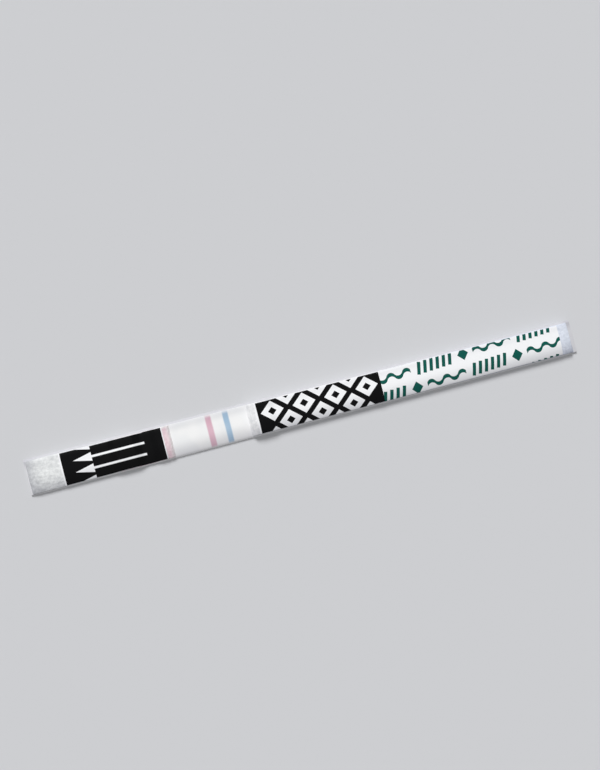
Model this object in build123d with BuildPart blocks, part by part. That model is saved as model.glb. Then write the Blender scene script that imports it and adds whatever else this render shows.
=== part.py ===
from build123d import *
import os

os.makedirs("parts", exist_ok=True)

# Lateral flow test strip, lying on its backing card with the printed side up.
# Millimetres. The origin is the centre of the card's underside. +X runs from the
# dip end to the handle end, +Y across the strip and +Z out of the printed side.

# Backing card
card_length = 80.0
card_width = 5.0
card_thickness = 0.30

# Slit edges: a wheel with two bevels cut the laminate from the printed side, so each
# long side leans in, strongly beside the card and then slightly up to the tapes.
# The far side, at +Y, leans more than the near one.
heel_height = 0.34
far_heel_inset = 0.36
far_flank_inset = 0.12
near_heel_inset = 0.17
near_flank_inset = 0.09

# Lengths that show, in order from the dip end
sample_exposed = 4.60
arrow_tape_length = 14.00
conjugate_exposed = 1.05
window_length = 10.75
absorbent_exposed = 1.10
motif_tape_length = 18.25
handle_exposed = 2.50

# Hidden overlaps
conjugate_length = 7.65
sample_over_conjugate = 2.50
conjugate_over_membrane = 2.00
absorbent_over_membrane = 3.00
motif_over_label = 1.00

# Thicknesses of the layers
sample_thickness = 0.48
conjugate_thickness = 0.30
membrane_thickness = 0.24
absorbent_thickness = 0.80
film_thickness = 0.08
ink_depth = 0.025
reagent_depth = 0.06

# Ends of the pads: set back from the card's ends, and leaning where a blade crushed them
sample_setback = 0.18
absorbent_setback = 0.50
sample_end_lean = 0.12
conjugate_end_lean = 0.22
absorbent_front_lean = 0.45
absorbent_back_lean = 0.42

# How soft sheets and film climb over a step
pad_ramp = 0.80
film_fall = 1.00
film_ramp = 0.30
drape_radius = 0.60

# Reagent lines, each by its distance from the start of the window
test_line_offset = 4.99
test_line_width = 0.80
control_line_offset = 7.42
control_line_width = 0.78

# Arrow print: bare arrows in a black field, pointing to the dip end
arrow_rim_front = 0.20
arrow_rim_back = 0.13
arrow_tip_inset = 1.70
arrow_head_length = 2.50
arrow_head_width = 1.18
arrow_shaft_length = 7.15
arrow_shaft_width = 0.31
arrow_pitch = 1.56
arrow_shift = -0.13

# Motif print: bare lozenges with black centres, in a half drop lattice on a black field
motif_rim_front = 0.25
lozenge_length = 3.30
lozenge_width = 2.90
lozenge_hole_length = 1.25
lozenge_hole_width = 1.10
lozenge_pitch_along = 4.60
lozenge_pitch_across = 3.60
lozenge_shift = 0.45

# Label print: rows of strokes, a lozenge and a wave, rising towards the handle end
row_pitch = 2.60
row_rise_degrees = 3.4
row_shift = -1.05
row_repeat = 15.70
stroke_width = 0.50
stroke_height = 1.85
stroke_pitch = 0.96
stroke_lean_degrees = 16.0
mark_gap = 0.70
bead_length = 1.70
bead_height = 1.85
wave_half_period = 1.20
wave_height = 0.70
wave_line = 0.55

# Counts
stroke_count = 6
wave_half_periods = 5
arrow_count = 4
lattice_columns = 4
lattice_rows = 3
row_count = 3
copy_count = 3

# A cut runs this far past what it cuts
overrun = 1.0

# Places along X that follow from the lengths above
dip_end = -card_length / 2
handle_end = card_length / 2
arrow_tape_start = dip_end + sample_exposed
arrow_tape_end = arrow_tape_start + arrow_tape_length
conjugate_end = arrow_tape_end + conjugate_exposed
conjugate_start = conjugate_end - conjugate_length
sample_end = conjugate_start + sample_over_conjugate
membrane_start = conjugate_end - conjugate_over_membrane
absorbent_start = conjugate_end + window_length
membrane_end = absorbent_start + absorbent_over_membrane
motif_tape_start = absorbent_start + absorbent_exposed
motif_tape_end = motif_tape_start + motif_tape_length
label_tape_start = motif_tape_end - motif_over_label
label_tape_end = handle_end - handle_exposed

# Heights that follow from the thicknesses above
card_top = card_thickness
membrane_top = card_top + membrane_thickness
conjugate_top = card_top + conjugate_thickness
conjugate_raised_top = membrane_top + conjugate_thickness
sample_top = card_top + sample_thickness
sample_raised_top = conjugate_top + sample_thickness
absorbent_top = card_top + absorbent_thickness
absorbent_raised_top = membrane_top + absorbent_thickness
label_top = absorbent_top + film_thickness
strip_top = absorbent_raised_top + film_thickness


def sheet_section(underside, thickness, front_lean=0, back_lean=0):
    """Section of a sheet along the strip, from the corners of its underside.

    The topside is the underside lifted by the thickness, so sheets that share corners nest.
    Its two ends draw in by the leans.
    """
    topside = [(x, z + thickness) for x, z in underside]
    topside[0] = (topside[0][0] + front_lean, topside[0][1])
    topside[-1] = (topside[-1][0] - back_lean, topside[-1][1])
    with BuildSketch(Plane.XZ) as section:
        with BuildLine():
            low = FilletPolyline(*underside, radius=drape_radius)
            high = FilletPolyline(*topside, radius=drape_radius)
            Line(low @ 0, high @ 0)
            Line(low @ 1, high @ 1)
        make_face()
    return section.sketch


def slit_side(heel_inset, flank_inset):
    """Corners of one slit edge from below, as (distance from the middle, height)."""
    heel_half_width = card_width / 2 - heel_inset
    heel_slope = heel_inset / heel_height
    flank_slope = flank_inset / (strip_top - heel_height)
    return [
        (card_width / 2 + overrun * heel_slope, -overrun),
        (heel_half_width, heel_height),
        (heel_half_width - flank_inset - overrun * flank_slope, strip_top + overrun),
    ]


def lifted(corners, height):
    """The same corners, raised by a height."""
    return [(x, z + height) for x, z in corners]


def lozenge(length, width):
    """Lozenge with its corners on the two axes."""
    corners = [(-length / 2, 0), (0, width / 2), (length / 2, 0), (0, -width / 2)]
    with BuildSketch() as shape:
        Polygon(*corners, align=None)
    return shape.sketch


def arrow():
    """Arrow with its tip at the origin, pointing along -X."""
    half_head = arrow_head_width / 2
    half_shaft = arrow_shaft_width / 2
    shaft_end = arrow_head_length + arrow_shaft_length
    with BuildSketch() as shape:
        with BuildLine():
            Polyline(
                (0, 0),
                (arrow_head_length, half_head),
                (arrow_head_length, half_shaft),
                (shaft_end, half_shaft),
                (shaft_end, -half_shaft),
                (arrow_head_length, -half_shaft),
                (arrow_head_length, -half_head),
                close=True,
            )
        make_face()
    return shape.sketch


def wave():
    """Wavy band of even height, from the origin along +X, made of arcs that meet in line."""
    half_line = wave_line / 2
    with BuildSketch() as shape:
        with BuildLine():
            for index in range(wave_half_periods):
                start = index * wave_half_period
                middle = start + wave_half_period / 2
                end = start + wave_half_period
                crest = wave_height / 2 if index % 2 == 0 else -wave_height / 2
                for side in (half_line, -half_line):
                    ThreePointArc((start, side), (middle, side + crest), (end, side))
            Line((0, -half_line), (0, half_line))
            Line((end, -half_line), (end, half_line))
        make_face()
    return shape.sketch


def label_unit():
    """One repeat of the label's print: leaning strokes, then a lozenge, then a wave."""
    bead_centre = (stroke_count - 1) * stroke_pitch + stroke_width + mark_gap + bead_length / 2
    wave_start = bead_centre + bead_length / 2 + mark_gap
    with BuildSketch() as unit:
        for index in range(stroke_count):
            with Locations(Location((index * stroke_pitch, 0), -stroke_lean_degrees)):
                Rectangle(stroke_width, stroke_height)
        with Locations((bead_centre, 0)):
            add(lozenge(bead_length, bead_height))
        with Locations((wave_start, 0)):
            add(wave())
    return unit.sketch


# Corners of each sheet's underside, as (x, z)
sample_path = [
    (dip_end + sample_setback, card_top),
    (conjugate_start - pad_ramp, card_top),
    (conjugate_start, conjugate_top),
    (sample_end, conjugate_top),
]
conjugate_path = [
    (conjugate_start, card_top),
    (membrane_start - pad_ramp, card_top),
    (membrane_start, membrane_top),
    (conjugate_end, membrane_top),
]
absorbent_path = [
    (absorbent_start, membrane_top),
    (membrane_end, membrane_top),
    (membrane_end + pad_ramp, card_top),
    (handle_end - absorbent_setback, card_top),
]
arrow_tape_path = [
    (arrow_tape_start, sample_top),
    (conjugate_start - pad_ramp, sample_top),
    (conjugate_start, sample_raised_top),
    (sample_end, sample_raised_top),
    (sample_end + film_fall, conjugate_top),
    (membrane_start - pad_ramp, conjugate_top),
    (membrane_start, conjugate_raised_top),
    (arrow_tape_end, conjugate_raised_top),
]
motif_tape_path = [
    (motif_tape_start, absorbent_raised_top),
    (membrane_end, absorbent_raised_top),
    (membrane_end + pad_ramp, absorbent_top),
    (label_tape_start - film_ramp, absorbent_top),
    (label_tape_start, label_top),
    (motif_tape_end, label_top),
]
ink_lift = film_thickness - ink_depth

# Room between the two slit edges, which trims every layer flush with the card
with BuildPart() as slit:
    with BuildSketch(Plane.YZ):
        far_side = slit_side(far_heel_inset, far_flank_inset)
        near_side = slit_side(near_heel_inset, near_flank_inset)
        Polygon(*far_side, *[(-across, height) for across, height in reversed(near_side)], align=None)
    extrude(amount=card_length / 2 + overrun, both=True)

# Backing card
with BuildPart() as backing_card:
    with BuildSketch():
        Rectangle(card_length, card_width)
    extrude(amount=card_thickness)
    add(slit.part, mode=Mode.INTERSECT)
backing_card.part.label = "backing_card"

# Reagent lines, laid into the face of the membrane
with BuildPart() as test_line:
    with BuildSketch(Plane.XY.offset(membrane_top - reagent_depth)):
        with Locations((conjugate_end + test_line_offset, 0)):
            Rectangle(test_line_width, card_width, align=(Align.MIN, Align.CENTER))
    extrude(amount=reagent_depth)
    add(slit.part, mode=Mode.INTERSECT)
test_line.part.label = "test_line"

with BuildPart() as control_line:
    with BuildSketch(Plane.XY.offset(membrane_top - reagent_depth)):
        with Locations((conjugate_end + control_line_offset, 0)):
            Rectangle(control_line_width, card_width, align=(Align.MIN, Align.CENTER))
    extrude(amount=reagent_depth)
    add(slit.part, mode=Mode.INTERSECT)
control_line.part.label = "control_line"

# Membrane
with BuildPart() as membrane:
    with BuildSketch(Plane.XY.offset(card_top)):
        with Locations((membrane_start, 0)):
            Rectangle(membrane_end - membrane_start, card_width, align=(Align.MIN, Align.CENTER))
    extrude(amount=membrane_thickness)
    add(slit.part, mode=Mode.INTERSECT)
    add([test_line.part, control_line.part], mode=Mode.SUBTRACT)
membrane.part.label = "membrane"

# Conjugate pad, from the card up onto the membrane's front edge
conjugate_section = sheet_section(conjugate_path, conjugate_thickness, back_lean=conjugate_end_lean)
with BuildPart() as conjugate_pad:
    extrude(conjugate_section, amount=card_width / 2, both=True)
    add(slit.part, mode=Mode.INTERSECT)
    add(membrane.part, mode=Mode.SUBTRACT)
conjugate_pad.part.label = "conjugate_pad"

# Sample pad, from the card up onto the conjugate pad
sample_section = sheet_section(sample_path, sample_thickness, front_lean=sample_end_lean)
with BuildPart() as sample_pad:
    extrude(sample_section, amount=card_width / 2, both=True)
    add(slit.part, mode=Mode.INTERSECT)
    add(conjugate_pad.part, mode=Mode.SUBTRACT)
sample_pad.part.label = "sample_pad"

# Absorbent pad, from the membrane's back edge down onto the card
absorbent_section = sheet_section(
    absorbent_path,
    absorbent_thickness,
    front_lean=absorbent_front_lean,
    back_lean=absorbent_back_lean,
)
with BuildPart() as absorbent_pad:
    extrude(absorbent_section, amount=card_width / 2, both=True)
    add(slit.part, mode=Mode.INTERSECT)
    add(membrane.part, mode=Mode.SUBTRACT)
absorbent_pad.part.label = "absorbent_pad"

# Black field of the arrow tape, as deep as the ink and following the draped film
arrow_field_start = arrow_tape_start + arrow_rim_front
arrow_field_end = arrow_tape_end - arrow_rim_back
arrow_tip = arrow_tape_start + arrow_tip_inset
arrow_skin = sheet_section(lifted(arrow_tape_path, ink_lift), ink_depth)
with BuildPart() as arrow_ink:
    with BuildSketch():
        with Locations((arrow_field_start, 0)):
            Rectangle(arrow_field_end - arrow_field_start, card_width, align=(Align.MIN, Align.CENTER))
        with Locations((arrow_tip, arrow_shift)):
            with GridLocations(0, arrow_pitch, 1, arrow_count):
                add(arrow(), mode=Mode.SUBTRACT)
    extrude(amount=strip_top + overrun)
    extrude(arrow_skin, amount=card_width / 2, both=True, mode=Mode.INTERSECT)
    add(slit.part, mode=Mode.INTERSECT)
arrow_ink.part.label = "arrow_ink"

# Arrow tape, a film that falls off the sample pad's end and climbs the conjugate pad's step
with BuildPart() as arrow_tape:
    extrude(sheet_section(arrow_tape_path, film_thickness), amount=card_width / 2, both=True)
    add(slit.part, mode=Mode.INTERSECT)
    add([sample_pad.part, conjugate_pad.part, arrow_ink.part], mode=Mode.SUBTRACT)
arrow_tape.part.label = "arrow_tape"

# Green marks of the label tape, in rising rows, up to the motif tape's end
label_length = label_tape_end - motif_tape_end
label_middle = motif_tape_end + label_length / 2
unit = label_unit()
unit_spots = []
for row in range(row_count):
    stagger = row_repeat / 2 if row % 2 else 0
    across = row_shift + (row - row_count // 2) * row_pitch
    for copy in range(copy_count):
        unit_spots.append(((copy - copy_count / 2) * row_repeat + stagger, across))
with BuildPart() as label_ink:
    with BuildSketch(Plane.XY.offset(label_top - ink_depth)):
        with Locations(Location((label_middle, 0, 0), (0, 0, row_rise_degrees))):
            with Locations(*unit_spots):
                add(unit)
        with Locations((motif_tape_end, 0)):
            Rectangle(
                label_length,
                card_width,
                align=(Align.MIN, Align.CENTER),
                mode=Mode.INTERSECT,
            )
    extrude(amount=ink_depth)
    add(slit.part, mode=Mode.INTERSECT)
label_ink.part.label = "label_ink"

# Label tape, flat on the absorbent pad, its front end under the motif tape
with BuildPart() as label_tape:
    with BuildSketch(Plane.XY.offset(absorbent_top)):
        with Locations((label_tape_start, 0)):
            Rectangle(label_tape_end - label_tape_start, card_width, align=(Align.MIN, Align.CENTER))
    extrude(amount=film_thickness)
    add(slit.part, mode=Mode.INTERSECT)
    add(label_ink.part, mode=Mode.SUBTRACT)
label_tape.part.label = "label_tape"

# Black field of the motif tape, with bare lozenges round black centres
motif_field_start = motif_tape_start + motif_rim_front
motif_field_middle = (motif_field_start + motif_tape_end) / 2
motif_skin = sheet_section(lifted(motif_tape_path, ink_lift), ink_depth)
with BuildPart() as motif_ink:
    with BuildSketch():
        with Locations((motif_field_start, 0)):
            Rectangle(motif_tape_end - motif_field_start, card_width, align=(Align.MIN, Align.CENTER))
        with Locations((motif_field_middle, lozenge_shift)):
            for extra in (0, 1):
                columns = lattice_columns - extra
                rows = lattice_rows + extra
                with GridLocations(lozenge_pitch_along, lozenge_pitch_across, columns, rows):
                    add(lozenge(lozenge_length, lozenge_width), mode=Mode.SUBTRACT)
                    add(lozenge(lozenge_hole_length, lozenge_hole_width))
    extrude(amount=strip_top + overrun)
    extrude(motif_skin, amount=card_width / 2, both=True, mode=Mode.INTERSECT)
    add(slit.part, mode=Mode.INTERSECT)
motif_ink.part.label = "motif_ink"

# Motif tape, a film from the absorbent pad's raised end up onto the label tape
with BuildPart() as motif_tape:
    extrude(sheet_section(motif_tape_path, film_thickness), amount=card_width / 2, both=True)
    add(slit.part, mode=Mode.INTERSECT)
    add([absorbent_pad.part, label_tape.part, label_ink.part, motif_ink.part], mode=Mode.SUBTRACT)
motif_tape.part.label = "motif_tape"

export_step(backing_card.part, "parts/backing_card.step")
export_step(membrane.part, "parts/membrane.step")
export_step(test_line.part, "parts/test_line.step")
export_step(control_line.part, "parts/control_line.step")
export_step(conjugate_pad.part, "parts/conjugate_pad.step")
export_step(sample_pad.part, "parts/sample_pad.step")
export_step(absorbent_pad.part, "parts/absorbent_pad.step")
export_step(arrow_tape.part, "parts/arrow_tape.step")
export_step(arrow_ink.part, "parts/arrow_ink.step")
export_step(motif_tape.part, "parts/motif_tape.step")
export_step(motif_ink.part, "parts/motif_ink.step")
export_step(label_tape.part, "parts/label_tape.step")
export_step(label_ink.part, "parts/label_ink.step")
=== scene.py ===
"""Dresses a bare lateral flow test strip and lays it on a pale bench.

Every layer of the strip starts as a copy of its solid, worked in millimetres: it is sliced into
a fine mesh, pressed the way the slitting wheel pinched the laminate, roughened where it is bare
fibre, and given its finish.
"""

import logging
import math
from abc import ABC, abstractmethod
from dataclasses import dataclass
from enum import Enum
from functools import partial
from typing import Callable, Sequence

import bpy
from mathutils import Matrix, Vector, noise


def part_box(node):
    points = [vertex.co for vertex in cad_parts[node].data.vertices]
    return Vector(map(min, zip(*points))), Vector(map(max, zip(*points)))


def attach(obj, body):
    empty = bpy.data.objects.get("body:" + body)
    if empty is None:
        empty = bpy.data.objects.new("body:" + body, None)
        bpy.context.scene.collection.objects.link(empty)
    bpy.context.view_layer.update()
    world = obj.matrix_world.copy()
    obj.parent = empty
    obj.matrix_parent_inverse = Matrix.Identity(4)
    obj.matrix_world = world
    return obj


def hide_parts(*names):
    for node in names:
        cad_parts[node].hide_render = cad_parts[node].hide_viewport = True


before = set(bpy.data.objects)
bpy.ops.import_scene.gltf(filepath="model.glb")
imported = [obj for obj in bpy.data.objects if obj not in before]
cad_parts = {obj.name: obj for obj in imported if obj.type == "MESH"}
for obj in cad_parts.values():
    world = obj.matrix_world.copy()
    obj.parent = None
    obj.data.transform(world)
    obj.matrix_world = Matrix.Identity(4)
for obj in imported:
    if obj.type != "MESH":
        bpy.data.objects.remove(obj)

LOG = logging.getLogger("strip")
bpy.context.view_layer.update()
ROOT = "root"
TO_MM = 1000.0
TO_METRES = 0.001
MERGE_MM = 0.0005
SMOOTH_ANGLE = math.radians(32)
BEVEL_ANGLE = math.radians(20)
NOISE_MIDDLE = 0.5

# Places of the sockets that a Mix node uses for colours, because its socket names repeat
MIX_SHARE, MIX_FIRST, MIX_SECOND, MIX_RESULT = 0, 6, 7, 2

Colour = tuple[float, float, float]
Point = tuple[float, float, float]
Span = tuple[float, float]
Socket = bpy.types.NodeSocket
AnyNumber = Socket | float
AnyColour = Socket | Colour


def node_box(node: str) -> tuple[Vector, Vector]:
    """Give a solid's lowest and highest corners in millimetres.

    Args:
        node: The solid's name.

    Returns:
        The two corners.
    """
    low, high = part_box(node)
    return low * TO_MM, high * TO_MM


CARD_LOW, CARD_HIGH = node_box("backing_card")


class Axis(Enum):
    """An axis of the strip, by its place in a vector."""

    ALONG = 0
    ACROSS = 1
    UP = 2


class Side(Enum):
    """A cut side of the strip, by its axis and the way that leads inwards along it."""

    NEAR = (Axis.ACROSS, 1)
    FAR = (Axis.ACROSS, -1)
    DIP = (Axis.ALONG, 1)
    HANDLE = (Axis.ALONG, -1)

    @property
    def axis(self) -> Axis:
        """Give the axis that crosses the side."""
        return self.value[0]

    @property
    def inward(self) -> int:
        """Give 1 where inwards is up the axis, and -1 where it is down."""
        return self.value[1]

    def at(self, inset: float) -> float:
        """Give a place by how far it lies in from the card's own side.

        Args:
            inset: The way in, in millimetres.

        Returns:
            The place along the side's axis, in millimetres.
        """
        corner = CARD_LOW if self.inward > 0 else CARD_HIGH
        return corner[self.axis.value] + self.inward * inset


class Sum(Enum):
    """What a Math node does with its values."""

    ADD = "ADD"
    SUBTRACT = "SUBTRACT"
    MULTIPLY = "MULTIPLY"
    MAXIMUM = "MAXIMUM"
    ABSOLUTE = "ABSOLUTE"


class Lay(Enum):
    """How one colour is laid over another: as a cover, or as a tint that multiplies it."""

    COVER = "MIX"
    TINT = "MULTIPLY"


def srgb(red: int, green: int, blue: int) -> Colour:
    """Turn a colour as seen on a screen into the linear values that a shader takes.

    Args:
        red: Red from 0 to 255.
        green: Green from 0 to 255.
        blue: Blue from 0 to 255.

    Returns:
        The three linear values.
    """
    values = []
    for level in (red, green, blue):
        share = level / 255
        low = share <= 0.04045
        values.append(share / 12.92 if low else ((share + 0.055) / 1.055) ** 2.4)
    return (values[0], values[1], values[2])


def held(value: float) -> float:
    """Hold a value between 0 and 1."""
    return min(max(value, 0.0), 1.0)


def ease(value: float) -> float:
    """Ease a value from 0 to 1 in and out, held at its ends."""
    share = held(value)
    return share * share * (3 - 2 * share)


def waning(distance: float, reach: float, power: float = 1.0) -> float:
    """Give a share that sinks from 1 at no distance to 0 at its reach.

    Args:
        distance: The distance.
        reach: Where the share is gone.
        power: How quickly it sinks at first.

    Returns:
        The share.
    """
    return max(0.0, 1.0 - distance / reach) ** power


def steps(start: float, end: float, pitch: float) -> list[float]:
    """Give evenly spaced places inside a span.

    Args:
        start: Start of the span.
        end: End of the span.
        pitch: Largest distance between places.

    Returns:
        The places, without the two ends.
    """
    count = max(1, math.ceil((end - start) / pitch))
    return [start + (end - start) * index / count for index in range(1, count)]


class Graph:
    """A node tree with short calls to place and join its nodes."""

    def __init__(self, tree: bpy.types.NodeTree) -> None:
        """Keep the tree of a material, a world or a group."""
        self.tree = tree

    def add(self, kind: str, **settings: object) -> bpy.types.Node:
        """Place a node and set its properties.

        Args:
            kind: The node's type name.
            **settings: Properties by name.

        Returns:
            The new node.
        """
        node = self.tree.nodes.new(kind)
        for name, value in settings.items():
            setattr(node, name, value)
        return node

    def join(self, source: Socket, target: Socket) -> None:
        """Link one socket to another."""
        self.tree.links.new(source, target)

    def feed(self, target: Socket, value: AnyNumber | AnyColour) -> None:
        """Link a socket, or set it to a plain value.

        Args:
            target: The input socket.
            value: A socket, a number, or a colour where the input takes one.
        """
        if isinstance(value, Socket):
            self.join(value, target)
        elif target.type == "RGBA":
            target.default_value = (*value, 1.0)
        else:
            target.default_value = value

    def maths(self, operation: Sum, first: AnyNumber, second: AnyNumber = 0.0) -> Socket:
        """Place a Math node.

        Args:
            operation: The sum to do.
            first: A socket or a number.
            second: A socket or a number.

        Returns:
            The result's socket.
        """
        node = self.add("ShaderNodeMath", operation=operation.value)
        self.feed(node.inputs[0], first)
        self.feed(node.inputs[1], second)
        return node.outputs[0]

    def spread(self, value: Socket, reads: Span, gives: Span = (0.0, 1.0)) -> Socket:
        """Map a value smoothly from one range to another.

        Args:
            value: The socket to map.
            reads: Start and end of the range read.
            gives: Results at its start and at its end.

        Returns:
            The result's socket.
        """
        node = self.add("ShaderNodeMapRange", interpolation_type="SMOOTHSTEP")
        self.join(value, node.inputs["Value"])
        for label, limit in zip(("From Min", "From Max", "To Min", "To Max"), (*reads, *gives)):
            node.inputs[label].default_value = limit
        return node.outputs["Result"]

    def beyond(self, place: Socket, start: float, end: float) -> Socket:
        """Give a share that grows from one place to another, either way.

        Args:
            place: The coordinate, in metres.
            start: Where the share is 0, in millimetres.
            end: Where the share is 1, in millimetres.

        Returns:
            The share's socket.
        """
        sign = 1.0 if end > start else -1.0
        signed = self.maths(Sum.MULTIPLY, place, sign)
        return self.spread(signed, (sign * start * TO_METRES, sign * end * TO_METRES))

    def blend(
        self, share: AnyNumber, first: AnyColour, second: AnyColour, lay: Lay = Lay.COVER
    ) -> Socket:
        """Lay one colour over another.

        Args:
            share: How much of the second shows, from 0 to 1.
            first: A socket or a colour.
            second: A socket or a colour.
            lay: How the second lies over the first.

        Returns:
            The socket of the colour that comes out.
        """
        node = self.add("ShaderNodeMix", data_type="RGBA", blend_type=lay.value)
        self.feed(node.inputs[MIX_SHARE], share)
        self.feed(node.inputs[MIX_FIRST], first)
        self.feed(node.inputs[MIX_SECOND], second)
        return node.outputs[MIX_RESULT]


class Group(Graph):
    """A shader node group that reads a point of the surface and gives numbers."""

    def __init__(self, name: str, inputs: dict[str, float], outputs: Sequence[str]) -> None:
        """Start the group with its sockets.

        Args:
            name: The group's name.
            inputs: Number inputs with their usual values.
            outputs: Names of the number outputs.
        """
        super().__init__(bpy.data.node_groups.new(name, "ShaderNodeTree"))
        sockets = self.tree.interface
        sockets.new_socket("Point", in_out="INPUT", socket_type="NodeSocketVector")
        for label, value in inputs.items():
            socket = sockets.new_socket(label, in_out="INPUT", socket_type="NodeSocketFloat")
            socket.default_value = value
        for label in outputs:
            sockets.new_socket(label, in_out="OUTPUT", socket_type="NodeSocketFloat")
        self.inside = self.add("NodeGroupInput")
        self.result = self.add("NodeGroupOutput")

    def given(self, label: str) -> Socket:
        """Give the socket that brings one of the inputs."""
        return self.inside.outputs[label]

    def hand_out(self, label: str, value: AnyNumber) -> None:
        """Lead a value to one of the outputs."""
        self.feed(self.result.inputs[label], value)

    def clouds(self, point: Socket, scale: str, detail: float, **others: float) -> Socket:
        """Place a noise texture whose scale is one of the group's inputs.

        Args:
            point: Socket of the point that it reads.
            scale: Name of the input that holds its scale.
            detail: How many finer layers it has.
            **others: Its other inputs by name.

        Returns:
            The socket of its value, from 0 to 1.
        """
        node = self.add("ShaderNodeTexNoise")
        for label, value in {"Detail": detail, **others}.items():
            node.inputs[label].default_value = value
        self.join(point, node.inputs["Vector"])
        self.join(self.given(scale), node.inputs["Scale"])
        return node.outputs["Fac"]


class Patterns:
    """The shader node groups that materials share."""

    MOTTLE_RANGE = (0.34, 0.66)
    STRAND_TURNS = (9.0, 48.0, 83.0, 121.0, 160.0)
    STRAND_SHAPE = (0.9, 0.085, 0.085)
    STRAND_RANGE = (0.52, 0.74)
    SCUFF_RANGE = (0.42, 0.8)

    # How far in from each side of the card the painted edge shade starts, and how far in it is
    # full
    EDGE_SHADE_REACH = {
        Side.NEAR: (2.4, 0.0),
        Side.FAR: (1.7, 0.4),
        Side.DIP: (2.4, -0.1),
        Side.HANDLE: (1.5, 0.3),
    }

    def __init__(self) -> None:
        """Build each group once."""
        self.felt = self._felt()
        self.grain = self._grain()
        self.ripple = self._ripple()
        self.edge_shade = self._edge_shade()

    def _felt(self) -> bpy.types.NodeTree:
        """Build the group for matted fibre: soft clumps, and thin strands that cross.

        Returns:
            The group.
        """
        usual = {"Clumps": 2200.0, "Strands": 1500.0}
        group = Group("matted_fibre", usual, ("Mottle", "Strands"))
        clumps = group.clouds(group.given("Point"), "Clumps", detail=3.0, Roughness=0.55)
        group.hand_out("Mottle", group.spread(clumps, self.MOTTLE_RANGE))
        highest: AnyNumber = 0.0
        for turn in self.STRAND_TURNS:
            turned = group.add("ShaderNodeMapping", vector_type="TEXTURE")
            turned.inputs["Rotation"].default_value = (0.0, 0.0, math.radians(turn))
            turned.inputs["Scale"].default_value = self.STRAND_SHAPE
            group.join(group.given("Point"), turned.inputs["Vector"])
            point = turned.outputs["Vector"]
            streaks = group.clouds(point, "Strands", detail=1.0, Distortion=0.9)
            crest = group.spread(streaks, self.STRAND_RANGE)
            highest = group.maths(Sum.MAXIMUM, highest, crest)
        group.hand_out("Strands", highest)
        return group.tree

    def _grain(self) -> bpy.types.NodeTree:
        """Build the group for a fine even grain with a slow drift of tone.

        Returns:
            The group.
        """
        group = Group("fine_grain", {"Grain": 22000.0, "Drift": 420.0}, ("Grain", "Drift"))
        for label, detail in (("Grain", 2.0), ("Drift", 1.0)):
            group.hand_out(label, group.clouds(group.given("Point"), label, detail))
        return group.tree

    def _ripple(self) -> bpy.types.NodeTree:
        """Build the group for film that took up the unevenness of what it was pressed on.

        Returns:
            The group.
        """
        group = Group("film_ripple", {"Ripple": 1100.0, "Scuff": 7000.0}, ("Height", "Scuff"))
        group.hand_out("Height", group.clouds(group.given("Point"), "Ripple", detail=1.5))
        fine = group.clouds(group.given("Point"), "Scuff", detail=2.0)
        group.hand_out("Scuff", group.spread(fine, self.SCUFF_RANGE))
        return group.tree

    def _edge_shade(self) -> bpy.types.NodeTree:
        """Build the group for painted shade that greys the sheets towards their cut sides.

        Each input is how strongly one side is shaded, and the result is the share of painted
        shade.

        Returns:
            The group.
        """
        group = Group("painted_edge_shade", {side.name: 0.0 for side in Side}, ("EdgeShade",))
        split = group.add("ShaderNodeSeparateXYZ")
        group.join(group.given("Point"), split.inputs[0])
        clean: AnyNumber = 1.0
        for side, (start, full) in self.EDGE_SHADE_REACH.items():
            share = group.beyond(split.outputs[side.axis.value], side.at(start), side.at(full))
            # Share of painted shade that this side adds
            pressed = group.maths(Sum.MULTIPLY, share, group.given(side.name))
            clean = group.maths(Sum.MULTIPLY, clean, group.maths(Sum.SUBTRACT, 1.0, pressed))
        group.hand_out("EdgeShade", group.maths(Sum.SUBTRACT, 1.0, clean))
        return group.tree


@dataclass(frozen=True)
class PaintedEdgeShade:
    """How strongly painted shade greys a finish towards the cut edges, and to which tint."""

    near: float = 0.5
    far: float = 0.25
    dip: float = 0.0
    handle: float = 0.0
    grey: Colour = (0.50, 0.50, 0.54)


@dataclass(frozen=True)
class Stretch:
    """A stretch along an axis over which something grows, in millimetres."""

    axis: Axis
    start_mm: float
    end_mm: float


@dataclass(frozen=True)
class Fade:
    """A tint that grows over one stretch, or over whichever of several has grown most."""

    tint: Colour
    stretches: tuple[Stretch, ...]


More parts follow.
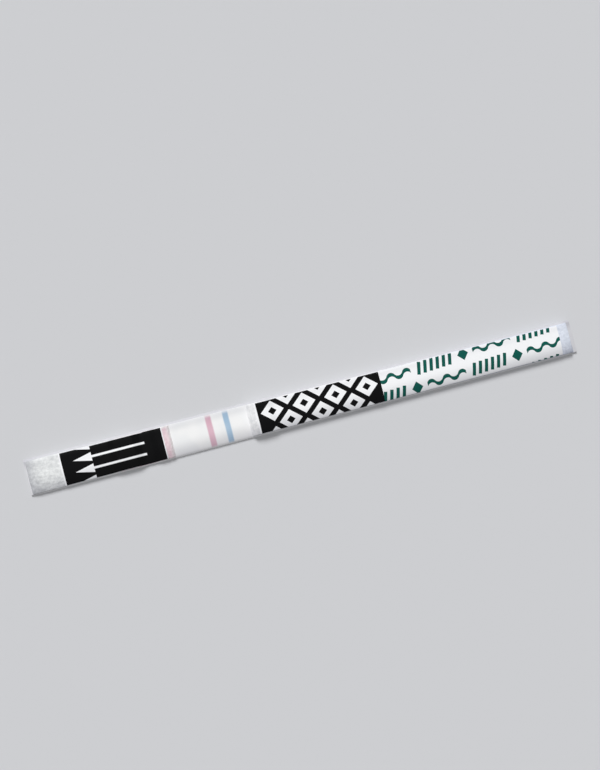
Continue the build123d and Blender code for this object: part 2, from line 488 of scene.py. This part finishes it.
class Surface:
    """A material under way: its graph, its shader and the point that its patterns read."""

    def __init__(self, name: str, roughness: float, gloss: float) -> None:
        """Start a material with a Principled shader.

        Args:
            name: The material's name.
            roughness: The shader's roughness.
            gloss: The shader's specular level.
        """
        self.material = bpy.data.materials.new(name)
        self.material.use_nodes = True
        self.graph = Graph(self.material.node_tree)
        self.shader = self.material.node_tree.nodes["Principled BSDF"]
        self.shader.inputs["Roughness"].default_value = roughness
        self.shader.inputs["Specular IOR Level"].default_value = gloss
        self.point = self.graph.add("ShaderNodeTexCoord").outputs["Object"]

    def pattern(self, group: bpy.types.NodeTree, **values: float) -> bpy.types.Node:
        """Place a pattern group with its own values.

        Args:
            group: The node group.
            **values: Its inputs by name.

        Returns:
            The group's node.
        """
        node = self.graph.add("ShaderNodeGroup", node_tree=group)
        self.graph.join(self.point, node.inputs["Point"])
        for label, value in values.items():
            node.inputs[label].default_value = value
        return node

    def coordinate(self, axis: Axis) -> Socket:
        """Give the distance from the strip's centre along an axis, in metres.

        Args:
            axis: The axis.

        Returns:
            The distance's socket.
        """
        split = self.graph.add("ShaderNodeSeparateXYZ")
        self.graph.join(self.point, split.inputs[0])
        return split.outputs[axis.value]

    def grown(self, stretches: Sequence[Stretch]) -> AnyNumber:
        """Give a share that grows over each of several stretches.

        Args:
            stretches: The stretches.

        Returns:
            The share where it has grown most.
        """
        most: AnyNumber = 0.0
        for stretch in stretches:
            place = self.coordinate(stretch.axis)
            share = self.graph.beyond(place, stretch.start_mm, stretch.end_mm)
            most = self.graph.maths(Sum.MAXIMUM, most, share)
        return most

    def pressed(self, patterns: Patterns, colour: AnyColour, edges: PaintedEdgeShade) -> Socket:
        """Grey a colour towards the cut edges with painted shade.

        Args:
            patterns: The shared node groups.
            colour: The colour's socket or value.
            edges: How strongly each side is shaded.

        Returns:
            The greyed colour's socket.
        """
        sides = {"NEAR": edges.near, "FAR": edges.far, "DIP": edges.dip, "HANDLE": edges.handle}
        # Painted shade: the colour greys towards the cut edges
        edge_shade = self.pattern(patterns.edge_shade, **sides)
        return self.graph.blend(edge_shade.outputs["EdgeShade"], colour, edges.grey, Lay.TINT)

    def paint(self, colour: AnyColour) -> None:
        """Feed the base colour."""
        self.graph.feed(self.shader.inputs["Base Color"], colour)

    def emboss(self, height: Socket, depth_mm: float, strength: float) -> None:
        """Raise the surface by a height, as shading only.

        Args:
            height: The height's socket, from 0 to 1.
            depth_mm: How deep a height of 1 is.
            strength: How much of it shows.
        """
        bump = self.graph.add("ShaderNodeBump")
        bump.inputs["Distance"].default_value = depth_mm * TO_METRES
        bump.inputs["Strength"].default_value = strength
        self.graph.join(height, bump.inputs["Height"])
        self.graph.join(bump.outputs["Normal"], self.shader.inputs["Normal"])


@dataclass(frozen=True)
class Finish(ABC):
    """What the finishes share: a main tone, a second one that it varies to, and painted edge
    shade.
    """

    name: str
    slot: str
    tone: Colour
    second: Colour
    # Painted shade towards the cut edges, for every finish that sets none of its own
    edges: PaintedEdgeShade = PaintedEdgeShade()
    roughness: float = 0.5
    gloss: float = 0.3
    relief_mm: float = 0.004
    relief_share: float = 0.3

    @abstractmethod
    def look(self, surface: Surface, patterns: Patterns) -> tuple[Socket, Socket]:
        """Lay out the finish.

        Args:
            surface: The material under way.
            patterns: The shared node groups.

        Returns:
            The sockets of its colour before the painted edge shade, and of its relief's height.
        """

    def material(self, patterns: Patterns) -> bpy.types.Material:
        """Build the material.

        Args:
            patterns: The shared node groups.

        Returns:
            The material.
        """
        surface = Surface(self.name, self.roughness, self.gloss)
        colour, height = self.look(surface, patterns)
        # Painted shade greys the colour towards the cut edges
        surface.paint(surface.pressed(patterns, colour, self.edges))
        surface.emboss(height, self.relief_mm, self.relief_share)
        return surface.material


@dataclass(frozen=True)
class FibreFinish(Finish):
    """Bare pad fibre, mottled between two tones, with strands that cross."""

    roughness: float = 0.95
    gloss: float = 0.12
    relief_mm: float = 0.02
    relief_share: float = 0.5
    fades: tuple[Fade, ...] = ()
    clumps: float = 2200.0
    strands: float = 1500.0
    # Painted shade in the gaps between strands: how much shows, and how dark it is
    gap_shade_share: float = 0.10
    gap_shade_tone: float = 0.80

    def look(self, surface: Surface, patterns: Patterns) -> tuple[Socket, Socket]:
        """Lay out the mottle, its fades, and painted shade in the gaps between strands.

        Args:
            surface: The material under way.
            patterns: The shared node groups.

        Returns:
            The sockets of the colour and of the height.
        """
        graph = surface.graph
        felt = surface.pattern(patterns.felt, Clumps=self.clumps, Strands=self.strands)
        mottle, strands = felt.outputs["Mottle"], felt.outputs["Strands"]
        colour = graph.blend(mottle, self.second, self.tone)
        for fade in self.fades:
            colour = graph.blend(surface.grown(fade.stretches), colour, fade.tint, Lay.TINT)
        # Painted shade where no strand runs
        gaps = graph.maths(Sum.SUBTRACT, 1.0, strands)
        gap_shade = tuple(value * self.gap_shade_tone for value in self.second)
        colour = graph.blend(graph.maths(Sum.MULTIPLY, gaps, self.gap_shade_share), colour, gap_shade)
        return colour, graph.maths(Sum.ADD, strands, mottle)


@dataclass(frozen=True)
class ReagentStripe:
    """A dried reagent line, by its two edges and its colour."""

    start_mm: float
    end_mm: float
    colour: Colour


@dataclass(frozen=True)
class MembraneFinish(Finish):
    """Smooth matte membrane, stained by the lines that were laid into it."""

    # Painted shade towards the near and far cut edges
    edges: PaintedEdgeShade = PaintedEdgeShade(near=0.62, far=0.38)
    roughness: float = 0.82
    gloss: float = 0.2
    relief_share: float = 0.35
    stripes: tuple[ReagentStripe, ...] = ()
    drift_range: Span = (0.35, 0.65)
    uneven_range: Span = (0.25, 0.75)
    uneven_left: float = 0.8
    wander_mm: float = 0.12
    feather_mm: float = 0.11
    far_inset_mm: float = 0.58
    near_inset_mm: float = 0.28
    end_fade_mm: float = 0.22
    end_left: float = 0.25

    def look(self, surface: Surface, patterns: Patterns) -> tuple[Socket, Socket]:
        """Lay out the membrane and the lines, each of which fades into it.

        Args:
            surface: The material under way.
            patterns: The shared node groups.

        Returns:
            The sockets of the colour and of the height.
        """
        graph = surface.graph
        fine = surface.pattern(patterns.grain)
        drift = fine.outputs["Drift"]
        colour = graph.blend(graph.spread(drift, self.drift_range), self.second, self.tone)
        insets = {Side.FAR: self.far_inset_mm, Side.NEAR: self.near_inset_mm}
        fade = self.end_fade_mm
        ends = [
            Stretch(side.axis, side.at(inset + fade), side.at(inset - fade))
            for side, inset in insets.items()
        ]
        gone = graph.maths(Sum.MULTIPLY, surface.grown(ends), 1.0 - self.end_left)
        full = graph.maths(Sum.SUBTRACT, 1.0, gone)
        uneven = graph.spread(drift, self.uneven_range, (self.uneven_left, 1.0))
        wander = graph.maths(Sum.SUBTRACT, drift, NOISE_MIDDLE)
        sway = graph.maths(Sum.MULTIPLY, wander, self.wander_mm * TO_METRES)
        place = graph.maths(Sum.ADD, surface.coordinate(Axis.ALONG), sway)
        feather = self.feather_mm * TO_METRES
        for stripe in self.stripes:
            half = (stripe.end_mm - stripe.start_mm) / 2 * TO_METRES
            middle = (stripe.end_mm + stripe.start_mm) / 2 * TO_METRES
            distance = graph.maths(Sum.ABSOLUTE, graph.maths(Sum.SUBTRACT, place, middle))
            inside = graph.spread(distance, (half - feather, half + feather), (1.0, 0.0))
            share = graph.maths(Sum.MULTIPLY, graph.maths(Sum.MULTIPLY, inside, uneven), full)
            colour = graph.blend(share, colour, stripe.colour)
        return colour, fine.outputs["Grain"]


@dataclass(frozen=True)
class FilmFinish(Finish):
    """Thin printed or plain film with a low gloss, and a second tone where it is scuffed."""

    roughness: float = 0.42
    gloss: float = 0.35
    relief_mm: float = 0.006
    scuff_share: float = 0.35
    scuff_roughness: float = 0.025

    def look(self, surface: Surface, patterns: Patterns) -> tuple[Socket, Socket]:
        """Lay out the film, a little rougher where it is scuffed.

        Args:
            surface: The material under way.
            patterns: The shared node groups.

        Returns:
            The sockets of the colour and of the height.
        """
        graph = surface.graph
        ripple = surface.pattern(patterns.ripple)
        scuff = ripple.outputs["Scuff"]
        roughest = self.roughness + self.scuff_roughness
        rough = graph.spread(scuff, (0.0, 1.0), (self.roughness, roughest))
        graph.join(rough, surface.shader.inputs["Roughness"])
        share = graph.maths(Sum.MULTIPLY, scuff, self.scuff_share)
        return graph.blend(share, self.tone, self.second), ripple.outputs["Height"]


@dataclass(frozen=True)
class CardFinish(Finish):
    """White plastic card, satin, with the faint drag lines of its cut."""

    # Painted shade on the card's far flank and at both ends
    edges: PaintedEdgeShade = PaintedEdgeShade(near=0.0, far=0.62, dip=0.35, handle=0.5)
    line_shape: Point = (0.1, 1.0, 1.0)
    line_scale: float = 12000.0

    def look(self, surface: Surface, patterns: Patterns) -> tuple[Socket, Socket]:
        """Lay out the card and its drag lines.

        Args:
            surface: The material under way.
            patterns: The shared node groups.

        Returns:
            The sockets of the colour and of the height.
        """
        graph = surface.graph
        drawn = graph.add("ShaderNodeMapping")
        drawn.inputs["Scale"].default_value = self.line_shape
        graph.join(surface.point, drawn.inputs["Vector"])
        drag = surface.pattern(patterns.ripple, Scuff=self.line_scale)
        graph.join(drawn.outputs["Vector"], drag.inputs["Point"])
        lines = drag.outputs["Scuff"]
        return graph.blend(lines, self.tone, self.second), lines


@dataclass(frozen=True)
class PinchedSection:
    """How far the pressed laminate sinks across its width, all in millimetres.

    The sheets keep their nesting, because each point sinks by its height above the card alone:
    up to the thinnest sheet's top by one share, and above that, where soft pads lie under it, by
    a little more.
    """

    card_top: float
    thin_top: float
    thick_top: float
    near_edge: float
    far_edge: float
    power: float = 2.0
    near_reach: float = 2.3
    near_drop: float = 0.19
    near_extra: float = 0.16
    far_reach: float = 0.7
    far_drop: float = 0.05
    lip_reach: float = 0.22
    lip_drop: float = 0.035

    def pressed(self, point: Vector) -> Vector:
        """Give where a point goes.

        Args:
            point: A point of the flat laminate.

        Returns:
            The point of the pressed one.
        """
        low = held((point.z - self.card_top) / (self.thin_top - self.card_top))
        high = held((point.z - self.thin_top) / (self.thick_top - self.thin_top))
        to_near = max(point.y - self.near_edge, 0.0)
        to_far = max(self.far_edge - point.y, 0.0)
        near = waning(to_near, self.near_reach, self.power)
        far = waning(to_far, self.far_reach, self.power)
        lip = waning(min(to_near, to_far), self.lip_reach, self.power)
        sink = low * (self.near_drop * near + self.far_drop * far + self.lip_drop * lip)
        sink += high * self.near_extra * near
        return Vector((point.x, point.y, point.z - sink))


@dataclass(frozen=True)
class SoftEnd:
    """A pad's end that rounds down and frays, from its place to a reach inside it."""

    side: Side
    place: float
    base: float
    top: float
    reach: float
    drop: float
    power: float = 2.4
    fray: float = 0.05
    fray_middle: float = 0.5
    fray_reach: float = 0.35
    fray_pitch: float = 0.22
    low_fray: float = 0.4

    def eased(self, point: Vector) -> Vector:
        """Give where a point of the pad goes.

        Args:
            point: The point.

        Returns:
            The moved point.
        """
        inside = max((point.x - self.place) * self.side.inward, 0.0)
        fall = waning(inside, self.reach, self.power)
        weight = held((point.z - self.base) / (self.top - self.base))
        loose = waning(inside, self.fray_reach) * (self.low_fray + (1 - self.low_fray) * weight)
        spot = Vector((self.place, point.y / self.fray_pitch, point.z / self.fray_pitch))
        tug = (self.fray_middle + noise.noise(spot)) * self.fray * loose
        lowered = point.z - self.drop * fall * weight
        return Vector((point.x + self.side.inward * tug, point.y, lowered))


class Blank:
    """A working copy of a solid, in millimetres, until it is finished."""

    LUMP_LAYERS = 2

    def __init__(self, node: str, name: str) -> None:
        """Copy a solid's mesh and merge its loose triangles.

        Args:
            node: The solid's name.
            name: The new piece's name.
        """
        self.node = node
        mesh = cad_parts[node].data.copy()
        mesh.name = name
        mesh.materials.clear()
        mesh.transform(Matrix.Scale(TO_MM, 4))
        self.piece = bpy.data.objects.new(name, mesh)
        bpy.context.scene.collection.objects.link(self.piece)
        self._edit()
        bpy.ops.mesh.select_all(action="SELECT")
        bpy.ops.mesh.remove_doubles(threshold=MERGE_MM)
        bpy.ops.mesh.customdata_custom_splitnormals_clear()
        self._leave()

    def _take_up(self) -> None:
        """Select this piece alone and make it the active one."""
        bpy.ops.object.select_all(action="DESELECT")
        self.piece.select_set(True)
        bpy.context.view_layer.objects.active = self.piece

    def _edit(self) -> None:
        """Take the piece up and open it for editing."""
        self._take_up()
        bpy.ops.object.mode_set(mode="EDIT")

    def _leave(self) -> None:
        """Close the piece again."""
        bpy.ops.object.mode_set(mode="OBJECT")

    def _apply(self, modifier: bpy.types.Modifier) -> None:
        """Apply a modifier to the mesh."""
        self._take_up()
        bpy.ops.object.modifier_apply(modifier=modifier.name)

    def slice(self, axis: Axis, places: Sequence[float]) -> None:
        """Cut new edges round the piece at each place, so that it can bend there.

        Args:
            axis: The axis that the cuts cross.
            places: Places along it, in millimetres.
        """
        normal = [0.0, 0.0, 0.0]
        normal[axis.value] = 1.0
        self._edit()
        for place in places:
            point = [0.0, 0.0, 0.0]
            point[axis.value] = place
            bpy.ops.mesh.select_all(action="SELECT")
            bpy.ops.mesh.bisect(plane_co=point, plane_no=normal)
        self._leave()

    def shape(self, move: Callable[[Vector], Vector]) -> None:
        """Move every point of the piece.

        Args:
            move: Takes a point and gives where it goes.
        """
        for vertex in self.piece.data.vertices:
            vertex.co = move(vertex.co)

    def roughen(self, grain: float, depth: float, bare: Callable[[Vector], float]) -> None:
        """Push the surface in and out like matted fibre.

        Args:
            grain: Size of the lumps in millimetres.
            depth: How far they stand out in all.
            bare: Takes a point and gives how bare it is, from 0 to 1.
        """
        group = self.piece.vertex_groups.new(name="bare")
        for vertex in self.piece.data.vertices:
            weight = bare(vertex.co)
            if weight > 0:
                group.add([vertex.index], weight, "REPLACE")
        clouds = bpy.data.textures.new(f"{self.piece.name}_lumps", "CLOUDS")
        clouds.noise_scale = grain
        clouds.noise_depth = self.LUMP_LAYERS
        lumps = self.piece.modifiers.new("lumps", "DISPLACE")
        lumps.texture = clouds
        lumps.texture_coords = "LOCAL"
        lumps.strength = depth
        lumps.mid_level = NOISE_MIDDLE
        lumps.vertex_group = group.name
        self._apply(lumps)
        self.piece.vertex_groups.clear()

    def soften_edges(self, width: float, facets: int) -> None:
        """Round the sharp edges of a piece that has few.

        Args:
            width: Width of the rounding in millimetres.
            facets: Facets across it.
        """
        bevel = self.piece.modifiers.new("edges", "BEVEL")
        bevel.width = width
        bevel.segments = facets
        bevel.limit_method = "ANGLE"
        bevel.angle_limit = BEVEL_ANGLE
        self._apply(bevel)

    def finish(self, material: bpy.types.Material, slot: str) -> bpy.types.Object:
        """Bring the piece to metres, smooth it, dress it and let it stand for its solid.

        Args:
            material: The finish.
            slot: The record's material slot; not used.

        Returns:
            The finished piece.
        """
        self.piece.data.transform(Matrix.Scale(TO_METRES, 4))
        self.piece.data.materials.append(material)
        self._take_up()
        bpy.ops.object.shade_smooth_by_angle(angle=SMOOTH_ANGLE)
        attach(self.piece, ROOT)
        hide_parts(self.node)
        return self.piece


@dataclass
class Card:
    """The backing card."""

    edge: float = 0.02
    edge_facets: int = 3

    def build(self, patterns: Patterns) -> list[bpy.types.Object]:
        """Build and dress the card.

        Args:
            patterns: The shared node groups.

        Returns:
            The card alone, in a list.
        """
        finish = CardFinish("white_card", "card", srgb(231, 231, 233), srgb(225, 225, 228))
        blank = Blank("backing_card", "card_sheet")
        blank.soften_edges(self.edge, self.edge_facets)
        return [blank.finish(finish.material(patterns), finish.slot)]


@dataclass(frozen=True)
class PadPlan:
    """What sets one pad apart: its finish, its mesh, where it shows and how its ends round.

    A run is a place along the strip and the pitch of the slices up to it from the run before.
    Points up to the flank's top belong to the flanks, and the rest to the topside.
    """

    node: str
    piece: str
    finish: FibreFinish
    runs: tuple[tuple[float, float], ...]
    shown: tuple[Span, ...]
    ends: tuple[SoftEnd, ...]
    flank_top: float
    pitch_share: float = 1.0
    grain_share: float = 1.0
    depth_share: float = 1.0


@dataclass
class Pads:
    """The three fibre pads, finely sliced where they show and coarsely under film."""

    section: PinchedSection
    fine_pitch: float = 0.07
    coarse_pitch: float = 0.5
    flank_pitch: float = 0.12
    grain: float = 0.34
    depth: float = 0.07
    film_clear: float = 0.12
    overrun: float = 1.0
    flank_rise: float = 0.1
    flank_margin: float = 0.02
    flank_share: float = 0.5
    covered_flank_share: float = 0.25
    seat_margin: float = 0.01
    sample_thickness: float = 0.48
    absorbent_thickness: float = 0.8
    undyed_start: float = 0.4
    undyed_margin: float = 0.05
    undyed_side: float = 0.35
    plain_stretch: float = 10.0

    # How far in from a pad's end its painted light starts, and how far in it is full; it pales the
    # shaded end faces
    painted_light_pink_end: Span = (0.32, 0.15)
    painted_light_front: Span = (0.65, 0.35)

    def _bare(self, plan: PadPlan, point: Vector) -> float:
        """Say how bare a point of a pad is.

        Flanks are half as bare as the topside beside them, and a little bare under film too.
        What lies on the card isn't bare.

        Args:
            plan: The pad's plan.
            point: The point.

        Returns:
            Its weight, from 0 to 1.
        """
        if point.z < self.section.card_top + self.seat_margin:
            return 0.0
        shown = 0.0
        for start, end in plan.shown:
            inside = min(point.x - start, end - point.x)
            shown = max(shown, ease(inside / self.film_clear))
        near = self.section.near_edge + self.flank_margin
        far = self.section.far_edge - self.flank_margin
        if shown == 0.0 and not near < point.y < far:
            return self.covered_flank_share
        return shown if point.z > plan.flank_top else self.flank_share * shown

    def _sample(self) -> PadPlan:
        """Plan the sample pad, bare at the dip end.

        Returns:
            The plan.
        """
        low, high = node_box("sample_pad")
        film_start = node_box("arrow_tape")[0].x
        top = low.z + self.sample_thickness
        return PadPlan(
            node="sample_pad",
            piece="sample_felt",
            finish=FibreFinish(
                name="sample_fibre",
                slot="sample_fibre",
                tone=srgb(241, 243, 243),
                second=srgb(220, 222, 223),
                # Painted shade towards the near edge and the dip end
                edges=PaintedEdgeShade(near=0.65, far=0.14, dip=0.7),
            ),
            runs=(
                (film_start + self.film_clear, self.fine_pitch),
                (high.x, self.coarse_pitch),
            ),
            shown=((low.x - self.overrun, film_start),),
            ends=(SoftEnd(Side.DIP, low.x, low.z, top, reach=1.3, drop=0.22, fray=0.12),),
            flank_top=low.z + self.flank_rise,
        )

    def _conjugate(self) -> PadPlan:
        """Plan the pale pink pad, bare beside the window.

        Its dye thins towards its end and its far side, and painted light pales its shaded end
        face.

        Returns:
            The plan.
        """
        high = node_box("conjugate_pad")[1]
        film_end = node_box("arrow_tape")[1].x
        far, thin = self.section.far_edge, self.section.thin_top
        undyed = (
            Stretch(Axis.ALONG, film_end + self.undyed_start, high.x - self.undyed_margin),
            Stretch(Axis.ACROSS, far - self.undyed_side, far),
        )
        painted_light = Stretch(Axis.ALONG, *(high.x - inset for inset in self.painted_light_pink_end))
        return PadPlan(
            node="conjugate_pad",
            piece="pink_felt",
            finish=FibreFinish(
                name="pink_fibre",
                slot="conjugate_fibre",
                tone=srgb(238, 218, 223),
                second=srgb(228, 202, 210),
                # The undyed tint is thinning dye; the paler tint is painted light on the shaded
                # end face
                fades=(Fade((0.99, 1.2, 1.12), undyed), Fade((1.12, 1.12, 1.12), (painted_light,))),
                clumps=2600.0,
            ),
            runs=(
                (film_end - self.film_clear, self.coarse_pitch),
                (high.x, self.fine_pitch),
            ),
            shown=((film_end, high.x + self.overrun),),
            ends=(SoftEnd(Side.HANDLE, high.x, thin, high.z, reach=0.75, drop=0.13),),
            flank_top=thin + self.flank_rise / 2,
            depth_share=0.6,
        )

    def _absorbent(self) -> PadPlan:
        """Plan the absorbent pad, bare beside the window and at the handle end.

        It is cooler towards the handle end, and painted light pales its shaded front edge.

        Returns:
            The plan.
        """
        low, high = node_box("absorbent_pad")
        film_start = node_box("motif_tape")[0].x
        film_end = node_box("label_tape")[1].x
        top = low.z + self.absorbent_thickness
        thin = self.section.thin_top
        cooler = Stretch(Axis.ALONG, film_start + self.plain_stretch, film_end)
        painted_light = Stretch(Axis.ALONG, *(low.x + inset for inset in self.painted_light_front))
        return PadPlan(
            node="absorbent_pad",
            piece="absorbent_felt",
            finish=FibreFinish(
                name="absorbent_fibre",
                slot="absorbent_fibre",
                tone=srgb(244, 244, 245),
                second=srgb(228, 229, 231),
                # Painted shade towards the near edge and the handle end
                edges=PaintedEdgeShade(near=0.62, far=0.2, handle=0.4),
                # The cooler tint is the pad's own colour; the paler tint is painted light on the
                # shaded front slope
                fades=(Fade((0.85, 0.9, 1.0), (cooler,)), Fade((1.1, 1.1, 1.1), (painted_light,))),
            ),
            runs=(
                (film_start + self.film_clear, self.fine_pitch),
                (film_end - self.film_clear, self.coarse_pitch),
                (high.x, self.fine_pitch),
            ),
            shown=((low.x - self.overrun, film_start), (film_end, high.x + self.overrun)),
            ends=(
                SoftEnd(Side.DIP, low.x, thin, high.z, reach=0.95, drop=0.3),
                SoftEnd(Side.HANDLE, high.x, low.z, top, reach=0.7, drop=0.2, fray=0.1),
            ),
            flank_top=thin + self.flank_rise,
            pitch_share=1.3,
            grain_share=0.8,
        )

    def _make(self, plan: PadPlan, patterns: Patterns) -> bpy.types.Object:
        """Build and dress one pad.

        Args:
            plan: The pad's plan.
            patterns: The shared node groups.

        Returns:
            The pad.
        """
        low, high = node_box(plan.node)
        near, far = self.section.near_edge, self.section.far_edge
        blank = Blank(plan.node, plan.piece)
        start = low.x
        for end, pitch in plan.runs:
            blank.slice(Axis.ALONG, steps(start, end, pitch))
            start = end
        blank.slice(Axis.ACROSS, steps(near, far, self.fine_pitch * plan.pitch_share))
        blank.slice(Axis.UP, steps(low.z, high.z, self.flank_pitch))
        for soft_end in plan.ends:
            blank.shape(soft_end.eased)
        blank.shape(self.section.pressed)
        grain, depth = self.grain * plan.grain_share, self.depth * plan.depth_share
        blank.roughen(grain, depth, partial(self._bare, plan))
        return blank.finish(plan.finish.material(patterns), plan.finish.slot)

    def build(self, patterns: Patterns) -> list[bpy.types.Object]:
        """Build all three.

        Args:
            patterns: The shared node groups.

        Returns:
            The pads, from the dip end on.
        """
        plans = (self._sample(), self._conjugate(), self._absorbent())
        return [self._make(plan, patterns) for plan in plans]


@dataclass
class Sheets(ABC):
    """Thin sheets that are sliced both ways and pressed with the laminate."""

    section: PinchedSection
    across_pitch: float
    along_pitch: float

    @abstractmethod
    def dress(self) -> dict[str, tuple[str, Finish]]:
        """Say how the sheets are dressed.

        Returns:
            Each solid's piece and finish.
        """

    def build(self, patterns: Patterns) -> list[bpy.types.Object]:
        """Build and dress the sheets.

        Args:
            patterns: The shared node groups.

        Returns:
            The sheets.
        """
        near, far = self.section.near_edge, self.section.far_edge
        materials: dict[str, bpy.types.Material] = {}
        pieces = []
        for node, (name, finish) in self.dress().items():
            low, high = node_box(node)
            blank = Blank(node, name)
            blank.slice(Axis.ACROSS, steps(near, far, self.across_pitch))
            blank.slice(Axis.ALONG, steps(low.x, high.x, self.along_pitch))
            blank.shape(self.section.pressed)
            if finish.name not in materials:
                materials[finish.name] = finish.material(patterns)
            pieces.append(blank.finish(materials[finish.name], finish.slot))
        return pieces


@dataclass
class ReadingWindow(Sheets):
    """The membrane and the two lines laid into it."""

    across_pitch: float = 0.12
    along_pitch: float = 0.6

    def dress(self) -> dict[str, tuple[str, Finish]]:
        """Say how the membrane and its lines are dressed.

        Returns:
            Each solid's piece and finish.
        """
        pink, blue = node_box("test_line"), node_box("control_line")
        stripes = (
            ReagentStripe(pink[0].x, pink[1].x, srgb(216, 174, 190)),
            ReagentStripe(blue[0].x, blue[1].x, srgb(152, 184, 211)),
        )
        tones = (srgb(243, 243, 243), srgb(238, 239, 240))
        sheets = {
            "membrane": ("window_sheet", "membrane"),
            "test_line": ("pink_stripe", "pink_reagent"),
            "control_line": ("blue_stripe", "blue_reagent"),
        }
        return {
            node: (name, MembraneFinish(name, slot, *tones, stripes=stripes))
            for node, (name, slot) in sheets.items()
        }


@dataclass
class Tapes(Sheets):
    """The three films and the print on them."""

    across_pitch: float = 0.15
    along_pitch: float = 0.2

    def dress(self) -> dict[str, tuple[str, Finish]]:
        """Say how the films and their print are dressed.

        Returns:
            Each solid's piece and finish.
        """
        film = FilmFinish("white_film", "white_film", srgb(244, 245, 247), srgb(238, 239, 242))
        black = FilmFinish(
            "black_ink", "black_ink", srgb(9, 9, 10), srgb(15, 15, 17), roughness=0.5, gloss=0.06
        )
        green = FilmFinish(
            "green_ink", "green_ink", srgb(8, 84, 74), srgb(14, 92, 82), roughness=0.5, gloss=0.1
        )
        return {
            "arrow_tape": ("arrow_film", film),
            "motif_tape": ("motif_film", film),
            "label_tape": ("label_film", film),
            "arrow_ink": ("arrow_print", black),
            "motif_ink": ("motif_print", black),
            "label_ink": ("label_print", green),
        }


@dataclass(frozen=True)
class Lamp:
    """A wide lamp far off: only the direction of its place counts."""

    name: str
    place: Point
    width_degrees: float
    strength: float

    def build(self) -> None:
        """Hang the lamp, facing the strip."""
        light = bpy.data.lights.new(self.name, "SUN")
        light.angle = math.radians(self.width_degrees)
        light.energy = self.strength
        lamp = bpy.data.objects.new(self.name, light)
        lamp.location = self.place
        lamp.rotation_euler = (-Vector(self.place)).to_track_quat("-Z", "Y").to_euler()
        bpy.context.scene.collection.objects.link(lamp)


@dataclass
class Bench:
    """The pale bench, the light and the camera."""

    eye_mm: Point = (-18.228, -1.618, 111.22)
    aim_mm: Point = (-1.288, 3.012, 0.0)
    nearest_mm: float = 1.0
    picture_turn: float = 14.853
    picture_height: float = 770.0
    focal_pixels: float = 800.0
    frame_mm: float = 36.0
    floor_mm: float = 4000.0
    floor_colour: Colour = srgb(205, 206, 209)
    sky_colour: Colour = srgb(222, 223, 225)
    room_colour: Colour = (1.0, 1.0, 1.0)
    room_strength: float = 0.285
    key: Lamp = Lamp("key", (-0.1, 0.45, 0.42), width_degrees=26.0, strength=2.88)
    fill: Lamp = Lamp("fill", (0.1, -0.1, 0.6), width_degrees=45.0, strength=0.3)

    def camera(self) -> None:
        """Set up the camera over the strip, turned as the picture is."""
        eye, aim = Vector(self.eye_mm) * TO_METRES, Vector(self.aim_mm) * TO_METRES
        turn = math.radians(self.picture_turn)
        upward = Vector((math.sin(turn), math.cos(turn), 0.0))
        back = (eye - aim).normalized()
        right = upward.cross(back).normalized()
        rise = back.cross(right)
        lens = bpy.data.cameras.new("camera")
        lens.sensor_fit = "VERTICAL"
        lens.sensor_height = self.frame_mm
        lens.lens = self.focal_pixels / self.picture_height * self.frame_mm
        lens.clip_start = self.nearest_mm * TO_METRES
        camera = bpy.data.objects.new("camera", lens)
        turned = Matrix((right, rise, back)).transposed().to_4x4()
        camera.matrix_world = Matrix.Translation(eye) @ turned
        bpy.context.scene.collection.objects.link(camera)
        bpy.context.scene.camera = camera

    def floor(self) -> None:
        """Lay the bench top under the strip."""
        bpy.ops.object.select_all(action="DESELECT")
        bpy.ops.mesh.primitive_plane_add(size=self.floor_mm * TO_METRES, location=(0, 0, 0))
        floor = bpy.context.object
        floor.name = "bench_top"
        surface = Surface("bench_top", roughness=0.9, gloss=0.1)
        surface.paint(self.floor_colour)
        floor.data.materials.append(surface.material)

    def light(self) -> None:
        """Hang the lamps and set the even light of the room, which looks pale where it is seen."""
        self.key.build()
        self.fill.build()
        world = bpy.data.worlds.new("room")
        bpy.context.scene.world = world
        world.use_nodes = True
        graph = Graph(world.node_tree)
        room = world.node_tree.nodes["Background"]
        graph.feed(room.inputs["Color"], self.room_colour)
        graph.feed(room.inputs["Strength"], self.room_strength)
        seen = graph.add("ShaderNodeBackground")
        graph.feed(seen.inputs["Color"], self.sky_colour)
        path = graph.add("ShaderNodeLightPath").outputs
        looks = graph.maths(Sum.MAXIMUM, path["Is Camera Ray"], path["Is Glossy Ray"])
        looks = graph.maths(Sum.MAXIMUM, looks, path["Is Transmission Ray"])
        mix = graph.add("ShaderNodeMixShader")
        graph.join(looks, mix.inputs[0])
        graph.join(room.outputs[0], mix.inputs[1])
        graph.join(seen.outputs[0], mix.inputs[2])
        graph.join(mix.outputs[0], world.node_tree.nodes["World Output"].inputs["Surface"])

    def build(self) -> None:
        """Set the whole stage."""
        self.camera()
        self.floor()
        self.light()
        bpy.context.scene.view_settings.view_transform = "Standard"


def main() -> None:
    """Build the bench and the strip in order."""
    logging.basicConfig(level=logging.INFO, format="%(message)s")
    Bench().build()
    label_low, label_high = node_box("label_tape")
    section = PinchedSection(
        card_top=CARD_HIGH.z,
        thin_top=node_box("membrane")[1].z,
        thick_top=label_high.z,
        near_edge=label_low.y,
        far_edge=label_high.y,
    )
    patterns = Patterns()
    for assembly in (Card(), Pads(section), ReadingWindow(section), Tapes(section)):
        for piece in assembly.build(patterns):
            LOG.info("%s: %d faces", piece.name, len(piece.data.polygons))


if __name__ == "__main__":
    main()
